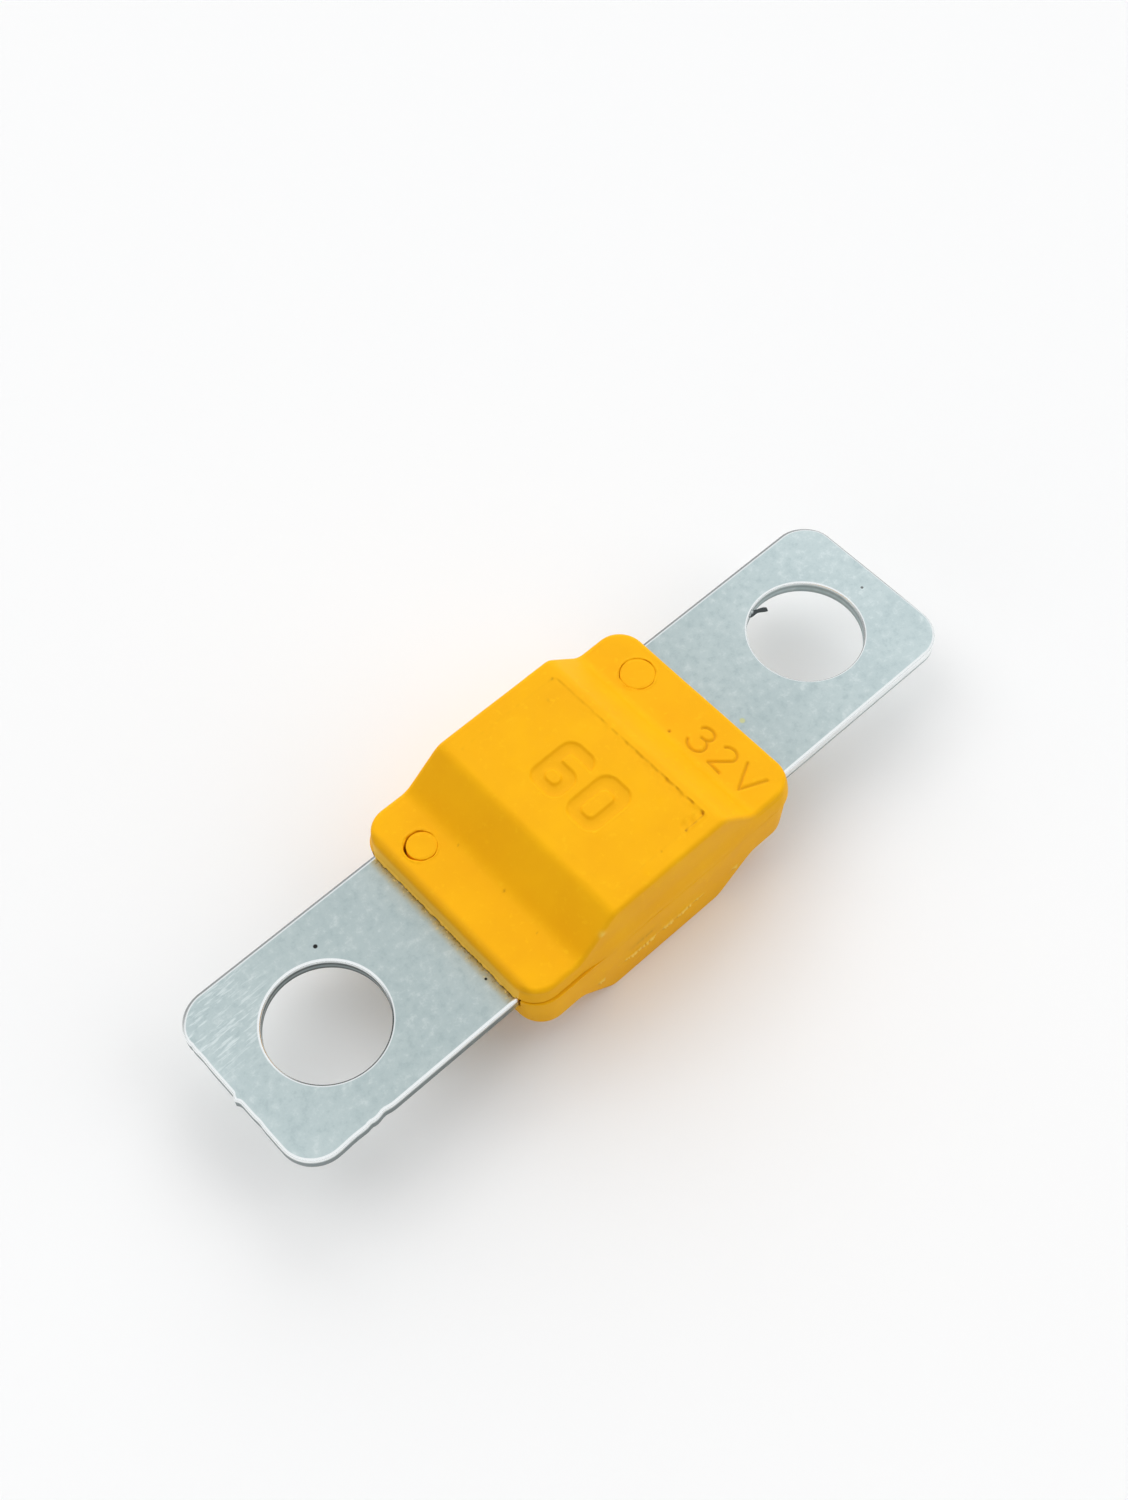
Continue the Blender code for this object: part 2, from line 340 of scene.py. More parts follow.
def pin_hole(square, end, outer, flange, seat):
    """A pin's hole: a collar from a square of the outer face in to the mouth, and the wall to the seat.

    The collar's rings go evenly from the square to a circle. The mouth is a circle with two small sine
    waves round it, of 3 and 8 periods. Gives the patch and its last ring.
    """
    centre, radius = np.array([end * PIN_X, PIN_Y]), PIN_HOLES[end]
    angle = np.arctan2(square[:, 1] - centre[1], square[:, 0] - centre[0])
    circle = np.column_stack([np.cos(angle), np.sin(angle)])
    collar = []
    for part in np.linspace(0, 1, 14):
        flat = (1 - part) * square[:, :2] + part * (centre + (radius + 0.03) * circle)
        collar.append(at_height(flat, outer(flat[:, 0], flat[:, 1])))
    wobble = 0.018 * np.sin(3 * angle + end) + 0.012 * np.sin(8 * angle)
    mouth = centre + (radius + wobble[:, None]) * circle
    collar += [at_height(mouth + 0.01 * circle, flange - 0.01), at_height(mouth, flange - 0.03)]
    return rings(*collar, at_height(mouth, seat)), at_height(mouth, seat)


def side_wall(rim, corner_x, corner_y, flange, draft, seat, relief, rim_level, rows):
    """The rings from the outer face's border round the edge and down the drafted side to the rim.

    A point moves out along the plan's normal: round a quarter circle, then by its fall times the draft's
    tangent, plus the relief. The rim has a small chamfer and a ledge. At the strip's seat the rings end
    at the seat's depth. Gives the rings, and which points lie over the seat.
    """
    out = rim[:, :2] - np.clip(rim[:, :2], (-corner_x, -corner_y), (corner_x, corner_y))
    out[np.abs(rim[:, 0]) < corner_x + 1e-9, 0] = 0
    out /= np.linalg.norm(out, axis=1)[:, None]
    wall = []
    for turn in np.radians(np.linspace(0, 90, 7)):
        wall.append(at_height(rim[:, :2] + EDGE * np.sin(turn) * out, rim[:, 2] - EDGE * (1 - np.cos(turn))))
    reach_y = np.abs(rim[:, 1] + (EDGE + flange * draft) * out[:, 1])
    over_seat = (np.abs(rim[:, 0]) > corner_x) & (reach_y < SEAT_HALF + 0.003) & (seat > 0)
    foot = np.where(over_seat, seat, 0.0)
    level, chamfer = rim_level(rim[:, 0], rim[:, 1], out)
    level = foot + np.where(over_seat, 0, level)
    edge = wall[-1]
    for part in rows[1:]:
        z = edge[:, 2] + (level + chamfer - edge[:, 2]) * part
        fall = (edge[:, 2] - z)[:, None]
        flat = edge[:, :2] + fall * out * (END_DRAFT, draft)
        wall.append(at_height(flat + relief(*flat.T, z)[:, None] * out, z))
    inset = chamfer[:, None] * out
    wall.append(at_height(wall[-1][:, :2] - 0.3 * inset, level + 0.3 * chamfer))
    wall.append(at_height(wall[-1][:, :2] - 0.7 * inset, level))
    wall.append(at_height(wall[-1][:, :2] - RIM_LEDGE * out, foot))
    return wall, over_seat


def arc_chamber(flange, seat):
    """A shell's half of the arc chamber: flat sides, and a roof that follows the block one wall inside it.
    Gives its patches, and its opening at the seat's height."""
    crest = CREST - WALL * math.tan(SLOPE_ANGLE / 2)
    half = UPPER_WIDTH / 2 - WALL
    x = np.linspace(-CHAMBER_REACH, CHAMBER_REACH, 61)
    z = flange + BLOCK_RISE - WALL - SLOPE * rising(np.abs(x) - crest, CHAMBER_SOFT)
    x, z = np.r_[x[0], x, x[-1]], np.r_[seat, z, seat]
    sides = [np.column_stack([x, np.full(len(x), y), z]) for y in (-half, half)]
    outline = (z > seat + 1e-6) | (np.arange(len(x)) % (len(x) - 1) == 0)
    patches = [(np.vstack(sides), grid_faces(2, len(x)))] + [filled(side[outline]) for side in sides]
    return patches, np.array([sides[0][0], sides[0][-1], sides[1][-1], sides[1][0]])


def pin(centre, nudge, radius, seat, tip):
    """A pin's rings, from its root at the seat to its rounded tip, which the nudge moves off the centre."""
    angle = np.linspace(0, 2 * np.pi, 48, endpoint=False)
    circle = np.column_stack([np.cos(angle), np.sin(angle)])
    profile = [(0, 0.12), (0, 0.04), (0.012, 0.012), (0.04, 0), (0.2, 0.004), (0.5, 0.012), (radius, 0.014)]
    root = at_height(centre + radius * circle, seat)
    return [root] + [at_height(centre + nudge + (radius - inset) * circle, tip + z) for inset, z in profile]


def parting_face(rim, over_seat, openings):
    """The face that meets the other shell, inside the rim and outside the openings. Where the strip's seat
    crosses it, it is the seat's floor, the two level faces beside it and the two steps between them."""
    if not over_seat.any():
        return [filled(rim, *openings)]
    far, near = np.flatnonzero(over_seat & (rim[:, 0] > 0)), np.flatnonzero(over_seat & (rim[:, 0] < 0))
    after = (near[-1] + 1) % len(rim)
    steps = ((far[-1], far[-1] + 1, near[0] - 1, near[0]), (near[-1], after, far[0] - 1, far[0]))
    return [
        filled(np.vstack([rim[far], rim[near]]), *openings),
        filled(rim[far[-1] + 1:near[0]]),
        filled(np.vstack([rim[near[-1] + 1:], rim[:far[0]]])),
        *[(rim[list(step)], [(0, 1, 2, 3)]) for step in steps],
    ]


def moulded_shell(width, side_draft, flange, mate_flange, seat, x_steps, y_steps, relief, wall_relief,
                  rim_level, wall_rows, tips):
    """One shell in its own frame, with the parting plane at Z = 0 and the wall above it, as welded patches.

    The outer face is a grid over the plan, drawn in by the side's draft as it rises. Its height is the
    block's profile plus the relief. tips has a (nudge, radius) for the near and the far pin.
    """
    draft = math.tan(math.radians(side_draft))
    end, side = LENGTH / 2 - flange * END_DRAFT - EDGE, width / 2 - flange * draft - EDGE
    inner = CORNER - EDGE
    x_lines, y_lines, x, y = rounded_plan(end, side, inner, x_steps, y_steps)
    y = y * (1 - (block_height(x, flange) - flange) * draft / side)
    rows, columns = x.shape

    def outer(x, y):
        return block_height(x, flange) + relief(x, y)

    face = np.column_stack([x.ravel(), y.ravel(), outer(x, y).ravel()])
    kept = np.ones((rows - 1, columns - 1), bool)
    chamber, opening = arc_chamber(flange, seat)
    patches, openings = [], [opening]
    for turn in (-1, 1):
        i0, i1 = [np.abs(x_lines - turn * PIN_X - step).argmin() for step in (-PIN_SQUARE, PIN_SQUARE)]
        j0, j1 = [np.abs(y_lines - PIN_Y - step).argmin() for step in (-PIN_SQUARE, PIN_SQUARE)]
        kept[i0:i1, j0:j1] = False
        patch, opening = pin_hole(face[border(i0, i1, j0, j1, columns)], turn, outer, flange, seat)
        patches.append(patch)
        openings.append(opening)
    used, faces = np.unique(grid_faces(rows, columns)[kept.ravel()], return_inverse=True)
    patches.append((face[used], faces.reshape(-1, 4)))

    rim = face[border(0, rows - 1, 0, columns - 1, columns)]
    wall, over_seat = side_wall(rim, end - inner, side - inner, flange, draft, seat, wall_relief, rim_level,
                                wall_rows)
    patches += [rings(*wall), *chamber]
    for turn, (nudge, radius) in zip((-1, 1), tips):
        post = pin(np.array([turn * PIN_X, -PIN_Y]), nudge, radius, seat, -SEAT_GAP - mate_flange)
        patches.append(rings(*post))
        openings.append(post[0])
    return patches + parting_face(wall[-1], over_seat, openings)


def welded(name, patches, material, crease_angle=60):
    """One closed piece from patches whose borders share their points, with its faces turned outwards."""
    points, faces, start = [], [], 0
    for patch_points, patch_faces in patches:
        points.append(patch_points)
        faces += (np.asarray(patch_faces) + start).tolist()
        start += len(patch_points)
    mesh = bpy.data.meshes.new(name)
    mesh.from_pydata((np.vstack(points) * MM).tolist(), [], faces)
    joined = bmesh.new()
    joined.from_mesh(mesh)
    bmesh.ops.remove_doubles(joined, verts=joined.verts, dist=1e-7)
    bmesh.ops.recalc_face_normals(joined, faces=joined.faces)
    joined.to_mesh(mesh)
    joined.free()
    mesh.shade_smooth()
    mesh.set_sharp_from_angle(angle=math.radians(crease_angle))
    mesh.materials.append(material)
    piece = bpy.data.objects.new(name, mesh)
    bpy.context.scene.collection.objects.link(piece)
    return piece


def places(piece):
    """The piece's points in millimetres."""
    flat = np.empty(len(piece.data.vertices) * 3)
    piece.data.vertices.foreach_get("co", flat)
    return flat.reshape(-1, 3) / MM


def paint(piece, **layers):
    """Keeps values from 0 to 1 at the piece's points, for its material to read by name."""
    for name, values in layers.items():
        piece.data.attributes.new(name, "FLOAT", "POINT").data.foreach_set("value", np.clip(values, 0, 1))


# In the rating's own axes u runs to the right and v up: u is -Y and v is +X. The flange's thin strokes
# are lines of points, and the block's number is made of rounded boxes.
three = arc((1.36, 6.79), (0.41, 0.31), 165, -58) + arc((1.38, 6.12), (0.5, 0.42), 58, -160)
three_middle = [(1.32, 6.49), (1.6, 6.5)]
two = arc((2.82, 6.76), (0.42, 0.34), 155, -38) + [(2.43, 5.78), (3.2, 5.73)]
vee = [(3.72, 7.08), (4.42, 5.78), (4.98, 7.08)]
STROKE_DEPTH = 0.07
NUMBER_DEPTH, NUMBER_HOLLOW = 0.095, 0.02  # how deep it is, and how much deeper in its strokes' middles

# The mould insert's outline on the block, the raised rings round the pins, and the dark grains in the
# skin, each with its (x, y, size).
PANEL_LOW, PANEL_HIGH, PANEL_CORNER = (-2.78, -4.96), (2.95, 4.88), 0.2
RING_HEIGHT = 0.035
GRAIN_PIT, GRAIN_RIM = 0.045, 0.012
grains = [
    (-5.52, -1.0, 0.055), (-5.83, -3.5, 0.035), (-5.5, 2.1, 0.035), (5.63, -0.05, 0.07),
    (1.76, -4.98, 0.05), (2.9, -4.86, 0.05), (0.22, -4.98, 0.04), (1.82, 4.2, 0.035),
    (2.8, 4.85, 0.04), (-2.7, 4.84, 0.035), (1.83, 4.11, 0.045),
]

# The ragged lip over the strip reaches out and hangs down, and has its own seed. Where the near slope meets
# the side there is a torn nick, and the side comes out in the middle, flush with the lower shell's.
LIP_REACH, LIP_DROP, LIP_SEED = 0.07, 0.085, 31
NICK_X, NICK_REACH = -4.1, 0.06
FLUSH_REACH = 0.115
SHUT_DROP = 0.044  # how far the rim comes down where the shells are shut


def sunk_numbers(x, y):
    """How far into the block's number a point is: the distance inside its outline.

    The nought is a tall rounded box with a slot in it. The six is one too, cut open above its bowl.
    """
    u, v = -y, x
    six = box_distance(u, v, (-1.97, -1.55), (-0.03, 1.33), 0.68)
    arm_and_back = np.minimum(0.68 - v, u + 1.36)
    bowl = box_distance(u, v, (-1.97, -1.55), (-0.03, 0.15), 0.62)
    six = np.minimum(np.maximum(six, arm_and_back), bowl)
    six = np.maximum(six, -box_distance(u, v, (-1.4, -0.98), (-0.64, -0.4), 0.26))
    nought = box_distance(u, v, (0.39, -1.55), (2.33, 1.32), 0.68)
    nought = np.maximum(nought, -box_distance(u, v, (0.97, -0.98), (1.72, 0.6), 0.28))
    return -np.minimum(six, nought)


def flange_strokes(x, y):
    """The distance to the middle of the nearest thin stroke on the flange."""
    return np.minimum.reduce([line_distance(-y, x, stroke) for stroke in (three, three_middle, two, vee)])


def panel_line(x, y):
    """The mould insert's outline on the block: the distance to it, negative inside, and how strong it is."""
    edge = box_distance(x, y, PANEL_LOW, PANEL_HIGH, PANEL_CORNER)
    strength = 0.1 + 0.9 * smooth(2.2, 2.9, x) * (0.4 + 0.6 * smooth(2.0, -2.0, y))
    strength = np.maximum(strength, smooth(1.6, 1.8, x) * smooth(-4.4, -4.7, y))
    return edge, strength * (0.65 + 0.6 * rolling(x, y, 0.45, 5)) * (1 + 0.3 * smooth(-3.8, -4.8, y))


def upper_relief(x, y):
    """The outer face's relief: a slight unevenness, the sunk number and strokes, the insert's line with its
    dip inside and its lip outside, the thin raised rings that the pins pushed up, and the grains' pits."""
    height = 0.012 * rolling(x, y, 4.0, 1) + 0.003 * rolling(x, y, 0.9, 2)
    on_block = smooth(CREST - 0.1, CREST - 0.35, np.abs(x))
    inside = sunk_numbers(x, y)
    number = NUMBER_DEPTH * smooth(-0.05, 0.07, inside) + NUMBER_HOLLOW * smooth(0, 0.3, inside)
    height = height - number * on_block
    height = height - STROKE_DEPTH * smooth(0.11, 0.02, flange_strokes(x, y))
    edge, strength = panel_line(x, y)
    dip = 0.05 * smooth(0.02, -0.05, edge) * smooth(-1.6, 0.0, edge)
    lip = 0.03 * ridge(edge, 0.06, 0.04) - 0.02 * ridge(edge, 0, 0.04)
    height = height + on_block * strength * (lip - dip)
    for turn in (-1, 1):
        from_rim = np.hypot(x - turn * PIN_X, y - PIN_Y) - PIN_HOLES[turn]
        around = np.arctan2(y - PIN_Y, x - turn * PIN_X)
        height = height + RING_HEIGHT * ridge(from_rim, 0.07, 0.05) * torn(around * 0.9, 41 + turn)
    for gx, gy, size in grains:
        away = np.hypot(x - gx, y - gy)
        height = height - GRAIN_PIT * ridge(away, 0, size) + GRAIN_RIM * ridge(away, 1.8 * size, size)
    return height


def upper_wall(x, y, z):
    """The side's unevenness, a small torn nick where the near slope meets it, a ragged lip over the strip,
    and the way it comes flush with the lower shell in the middle."""
    nick = NICK_REACH * ridge(np.hypot(x - NICK_X, z - 2.05), 0, 0.12) * (y < 0)
    over_strip = (np.abs(x) > 8) * smooth(4.85, 4.7, np.abs(y))
    lip = LIP_REACH * smooth(0.11, 0.03, z) * (0.45 + 0.55 * torn(y, LIP_SEED)) * over_strip
    flush = FLUSH_REACH * smooth(1.2, 0, z) * smooth(-5.6, -3.8, x) * smooth(4.6, 5.4, np.abs(y))
    return 0.01 * rolling(x + y, z, 2.5, 3) + nick + lip + flush


def shut(x, y):
    """1 along the sides, where the shells are welded, and 0 at their near corners and at the ends."""
    return smooth(-6.3, -4.6, x) * (np.abs(y) > 5)


def upper_rim(x, y, out):
    """How the rim lies: down on the lower shell along the sides, open at the near corners, and ragged over
    the strip at the ends. Gives its level and its chamfer."""
    over_strip = (np.abs(out[:, 0]) > 0.99) * smooth(4.9, 4.7, np.abs(y))
    level = -SHUT_DROP * shut(x, y) - LIP_DROP * over_strip * torn(y, LIP_SEED)
    return level, RIM_CHAMFER - CRISPER * np.maximum(shut(x, y), over_strip)


upper_patches = moulded_shell(
    UPPER_WIDTH, UPPER_DRAFT, UPPER_FLANGE, LOWER_FLANGE, seat=0.0,
    # The grid is finest over the number, the thin strokes and the insert's far edge, and the rows down the
    # side lie closer together towards the rim.
    x_steps=[(-5.5, 0.1), (-1.75, 0.045), (1.55, 0.1), (2.78, 0.045), (3.1, 0.1), (5.45, 0.045)],
    y_steps=[(-5.3, 0.06), (-4.4, 0.05), (-0.8, 0.05), (2.1, 0.09)],
    relief=upper_relief, wall_relief=upper_wall, rim_level=upper_rim,
    wall_rows=1 - np.linspace(1, 0, 27) ** 1.5,
    tips=[((0, 0), 0.73), ((0, 0), 0.83)],
)
upper_shell = welded("upper_shell", [(p + (0, 0, PARTING + SEAT_GAP), f) for p, f in upper_patches], yellow)

# Painted shade in the sunk strokes and number, along the insert's line and inside it, in the open near
# corners, along the near top edge and at the foot of the near end; a painted highlight on the torn nick;
# painted light on the ends' lower part; paler thin plastic on the ragged lip; and where its grains are.
x, y, z = places(upper_shell).T
above = z - PARTING
outside = smooth(0.5, 0.9, above)
on_block = np.abs(x) < CREST
on_end = (np.abs(x) > 8.1) * (np.abs(y) < 4.9)
edge, strength = panel_line(x, y)
# painted shade in the sunk strokes and number, along the insert's line and just inside it
in_strokes = 0.75 * ridge(flange_strokes(x, y), 0, 0.055)
in_number = 0.14 * smooth(-0.02, 0.1, sunk_numbers(x, y)) * on_block
in_panel_line = 0.7 * strength * ridge(edge, 0, 0.045) * on_block
inside_panel = 0.1 * strength * smooth(-1.3, 0, edge) * (edge < 0) * on_block
# painted shade in the open near corners, along the near top edge, and at the near end's foot over the strip
open_corners = 0.8 * smooth(0.07, 0.02, above - SEAT_GAP) * smooth(-4.6, -5.4, x) * (np.abs(y) > 5)
near_edge = 0.55 * ridge(x, -7.98, 0.17) * outside * smooth(5.6, 4.9, np.abs(y))
near_foot = 0.45 * smooth(0.3, 0.1, above) * (x < 0) * on_end
# a painted highlight on the torn nick
torn_nick = 0.9 * np.exp(-((x - NICK_X) ** 2 + (y + 5.85) ** 2 + (z - 6.4) ** 2) / 0.02)
torn_lip = 0.25 * torn(y, LIP_SEED) * smooth(0.25, 0.05, above) * on_end
# painted light, standing for light that the strip throws back onto the ends' lower part
thin_end = 0.5 * smooth(0.85, 0.65, above) * on_end
specks = np.max([size * 12 * ridge(np.hypot(x - gx, y - gy), 0, size) for gx, gy, size in grains], 0)
on_faces = outside * (in_strokes + in_number + in_panel_line + inside_panel)
paint(
    upper_shell,
    crease=on_faces + open_corners + near_edge + near_foot,
    thin=torn_nick + torn_lip + thin_end,
    speck=outside * specks,
)
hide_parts("upper_housing")
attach(upper_shell, "root")


# The lower shell: the deeper moulding, with the strip's seat across it. It is turned over under the strip.
# Its side carries the thin, torn flash that the mould left where its flange meets its block.
FLASH_LEVEL = LOWER_FLANGE - 0.12
FLASH_REACH = 0.15


def lower_relief(x, y):
    """A slight unevenness of the moulded face, which stays above the table that it stands on."""
    return 0.008 * rolling(x, y, 4.0, 11) + 0.003 * rolling(x, y, 0.9, 12) - 0.02


def flash_strength(x, y, z):
    """How much flash is left at a point of the side: a thin level line, a bell curve across, that wanders a
    little and is torn off in places, with a last scrap at each slope."""
    wander = 0.03 * np.sin(3 * x) + 0.05 * rolling(x, 0 * x, 0.4, 23)
    thickness = 0.04 + 0.085 * torn(x, 27)
    level = ridge(z, FLASH_LEVEL + wander, thickness) * (y > 0)
    left = smooth(-3.4, -2.4, x) * smooth(2.4, 1.8, x) + smooth(0.3, 0.08, np.abs(np.abs(x) - 4.25))
    ragged = 0.12 + 0.88 * smooth(0.05, 0.6, torn(x, 25))
    return level * left * ragged * (0.65 + 0.45 * rolling(x, 0 * x, 0.17, 29))


def lower_wall(x, y, z):
    """The side's unevenness and its flash."""
    return 0.01 * rolling(x + y, z, 2.5, 13) + FLASH_REACH * flash_strength(x, y, z)


def lower_rim(x, y, out):
    """The rim is level, and crisper along the sides, where the shells are welded."""
    return 0 * x, RIM_CHAMFER - CRISPER * shut(x, y)


lower_patches = moulded_shell(
    LOWER_WIDTH, LOWER_DRAFT, LOWER_FLANGE, UPPER_FLANGE, seat=SEAT_DEPTH,
    # The grid is finest along the flash and at the seat's edge, and the rows down the side at the flash.
    x_steps=[(-5.5, 0.09), (-4.6, 0.06), (1.8, 0.1)],
    y_steps=[(-5.2, 0.02), (-4.95, 0.1), (4.4, 0.1)],
    relief=lower_relief, wall_relief=lower_wall, rim_level=lower_rim,
    wall_rows=np.union1d(np.linspace(0, 1, 34), np.linspace(0.42, 0.49, 18)),
    tips=[((0.045, 0.03), 0.72), ((0, 0), 0.853)],
)
turned_over = [(p * (1, -1, -1) + (0, 0, PARTING), f) for p, f in lower_patches]
lower_shell = welded("lower_shell", turned_over, yellow)

# Its flash is thin and pale, with painted shade under it, and a patch and a line of painted shade above it
# on the near side.
x, y, z = places(lower_shell).T
on_sides = np.abs(y) > 5.8
flash = flash_strength(x, -y, PARTING - z) * on_sides
# painted shade just under the flash
under_flash = 1.5 * flash_strength(x, -y, PARTING - z - 0.15) * on_sides
# painted shade above the flash: a soft patch and a thin line
smudge = 0.2 * ridge(x, -1.75, 0.8) * ridge(z, 2.9, 0.4)
streak = 0.7 * ridge(x, -1.6, 0.6) * ridge(z, 2.8, 0.12) * torn(x, 35)
paint(lower_shell, crease=(smudge + streak) * (y < -5.8) + under_flash, thin=2.4 * flash, speck=0 * z)
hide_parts("lower_housing")
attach(lower_shell, "root")


# The fuse strip: one stamping of plated metal between the shells, with a bolt hole in each tab. The punch
# rolled its upper edges over, and they shine, with a painted highlight on them. Its neck, which melts, and
# its pin holes are inside.
STRIP_TOP, STRIP_THICKNESS = 4.22, 0.75
STRIP_END, STRIP_HALF, STRIP_CORNER = 20.0, 4.875, 1.7
SHOULDER = CHAMBER_REACH - 0.95  # where the tabs' full width ends, inside the arc chamber
NECK_HALF, WAIST_HALF, WAIST_REACH, NECK_FILLET = 1.2, 0.7, 0.9, 0.7
BOLT_X, BOLT_RADIUS = 15.0, 2.86
STRIP_PIN_HOLE = 0.92
STRIP_ROLL, FAR_HOLE_ROLL, PIN_HOLE_ROLL = 0.15, 0.1, 0.06
POINT_SPACING = 0.13  # along the outline
LEVEL = 1e-4  # what counts as level with a face

# Dents in the edges, as (x, y, size, depth): the one at the near end stands out instead.
nicks = [
    (-15.75, -4.87, 0.28, 0.08), (-16.5, -4.87, 0.15, 0.05), (-17.4, -4.87, 0.5, 0.03),
    (-20, -0.1, 0.15, -0.14), (-20, 2.3, 0.4, 0.025), (-20, -1.6, 0.25, 0.03), (-20, 3.1, 0.1, 0.03),
]


def rounded(corners):
    """The outline through (x, y, radius) corners, an arc at each, with points evenly spaced along it."""
    outline = []
    for k, (x, y, radius) in enumerate(corners):
        before, after = corners[k - 1], corners[(k + 1) % len(corners)]
        inward = math.atan2(before[1] - y, before[0] - x)
        outward = math.atan2(after[1] - y, after[0] - x)
        opening = (outward - inward + math.pi) % (2 * math.pi) - math.pi
        reach, middle = radius / math.sin(abs(opening) / 2), inward + opening / 2
        sweep = math.copysign(math.pi - abs(opening), opening)
        turn = middle + math.pi + sweep * (0.5 - np.linspace(0, 1, 25))
        middle_x, middle_y = x + reach * math.cos(middle), y + reach * math.sin(middle)
        outline.append(np.column_stack([middle_x + radius * np.cos(turn), middle_y + radius * np.sin(turn)]))
    outline = np.vstack(outline + [outline[0][:1]])
    along = np.r_[0, np.cumsum(np.hypot(*np.diff(outline, axis=0).T))]
    even = np.linspace(0, along[-1], int(along[-1] / POINT_SPACING), endpoint=False)
    return np.column_stack([np.interp(even, along, outline[:, k]) for k in (0, 1)])


def stamped_edge(outline, roll, wider=0.0):
    """The edge round a stamping, as rings along its outline: in the top face, round the roll, down the cut
    face and in under the small burr radius. The inset is measured along the outline's own normal, and
    where that points to +Y the roll is wider."""
    along = np.roll(outline, -1, 0) - np.roll(outline, 1, 0)
    out = np.column_stack([along[:, 1], -along[:, 0]]) / np.linalg.norm(along, axis=1)[:, None]
    top, low = STRIP_TOP, STRIP_TOP - STRIP_THICKNESS
    roll = roll + wider * smooth(0.2, 0.9, out[:, 1])
    profile = [(roll + 0.15, top), (roll + 0.07, top)]
    for turn in np.radians(np.linspace(0, 90, 8)):
        profile.append((roll * (1 - math.sin(turn)), top - 0.8 * roll * (1 - math.cos(turn))))
    profile += [(0.0, top - step) for step in (0.2, 0.27, 0.34, 0.43, 0.52, 0.6, 0.7)]
    profile += [(0.015, low + 0.015), (0.05, low), (0.25, low)]
    dent = sum(depth * ridge(np.hypot(*(outline - (nx, ny)).T), 0, size) for nx, ny, size, depth in nicks)
    return [at_height(outline - (inset + dent)[:, None] * out, z) for inset, z in profile]


corners = []
for turn in (1, -1):
    corners += [
        (turn * STRIP_END, -turn * STRIP_HALF, STRIP_CORNER),
        (turn * STRIP_END, turn * STRIP_HALF, STRIP_CORNER),
        (turn * SHOULDER, turn * STRIP_HALF, NECK_FILLET),
        (turn * SHOULDER, turn * NECK_HALF, NECK_FILLET),
        (turn * WAIST_REACH, turn * NECK_HALF, NECK_FILLET),
        (0, turn * WAIST_HALF, NECK_FILLET),
        (-turn * WAIST_REACH, turn * NECK_HALF, NECK_FILLET),
        (-turn * SHOULDER, turn * NECK_HALF, NECK_FILLET),
        (-turn * SHOULDER, turn * STRIP_HALF, NECK_FILLET),
    ]
angle = np.linspace(0, -2 * np.pi, 160, endpoint=False)
circle = np.column_stack([np.cos(angle), np.sin(angle)])
edges = [stamped_edge(rounded(corners), STRIP_ROLL, wider=0.1)]
for x, roll in ((-BOLT_X, STRIP_ROLL), (BOLT_X, FAR_HOLE_ROLL)):
    edges.append(stamped_edge((x, 0) + BOLT_RADIUS * circle, roll))
for x in (-PIN_X, PIN_X):
    edges += [stamped_edge((x, y) + STRIP_PIN_HOLE * circle[::4], PIN_HOLE_ROLL) for y in (-PIN_Y, PIN_Y)]
strip_patches = [rings(*edge) for edge in edges]

# A sliver of burr hangs from the far hole's wall: a flat six-sided section along a slightly bent spine.
t = np.linspace(0, 1, 9)
spine = np.column_stack([13.75 + 0.85 * t, 2.62 - 0.42 * t + 0.08 * np.sin(3 * t), 4.0 + 0.12 * t])
spread = 0.15 * (1 - 0.3 * t) * (1 + 0.2 * np.sin(9 * t))
section = np.array([(-1, 0.0), (-0.5, 0.35), (0.5, 0.35), (1, 0.0), (0.5, -0.35), (-0.5, -0.35)])
spanned = section @ [(0.45, 1, 0), (0, 0, 1)]
sliver = [place + width * spanned for place, width in zip(spine, spread)]
strip_patches += [rings(*sliver), (sliver[0], [range(6)]), (sliver[-1], [range(6)])]
strip_patches += [filled(*[edge[k] for edge in edges]) for k in (0, -1)]

# Specks of dirt on the tabs, as (place, size, colour).
DIRT = (0.03, 0.03, 0.03)
marks = [
    ((-13.1, 3.1), 0.13, DIRT), ((-8.6, -3.2), 0.08, DIRT),
    ((9.1, -1.5), 0.17, (0.64, 0.66, 0.36)), ((18.9, -0.1), 0.09, (0.2, 0.22, 0.22)),
]
PLATE, CLOUD_PLATE = (0.51, 0.61, 0.615), (0.58, 0.675, 0.675)
PALE_CRYSTAL, DARK_CRYSTAL = (0.66, 0.745, 0.745), (0.43, 0.53, 0.54)
SCRATCH = (0.82, 0.9, 0.9)
DULL, BRIGHT = (0.93, 0.92, 0.915), (1.15, 1.14, 1.15)
ROLLED_METAL, CUT_METAL = (0.93, 0.96, 0.96), (0.07, 0.08, 0.082)
STAIN, PALE_CRUMB, DARK_CRUMB = (0.5, 0.37, 0.09), (0.85, 0.7, 0.3), (0.22, 0.13, 0.02)


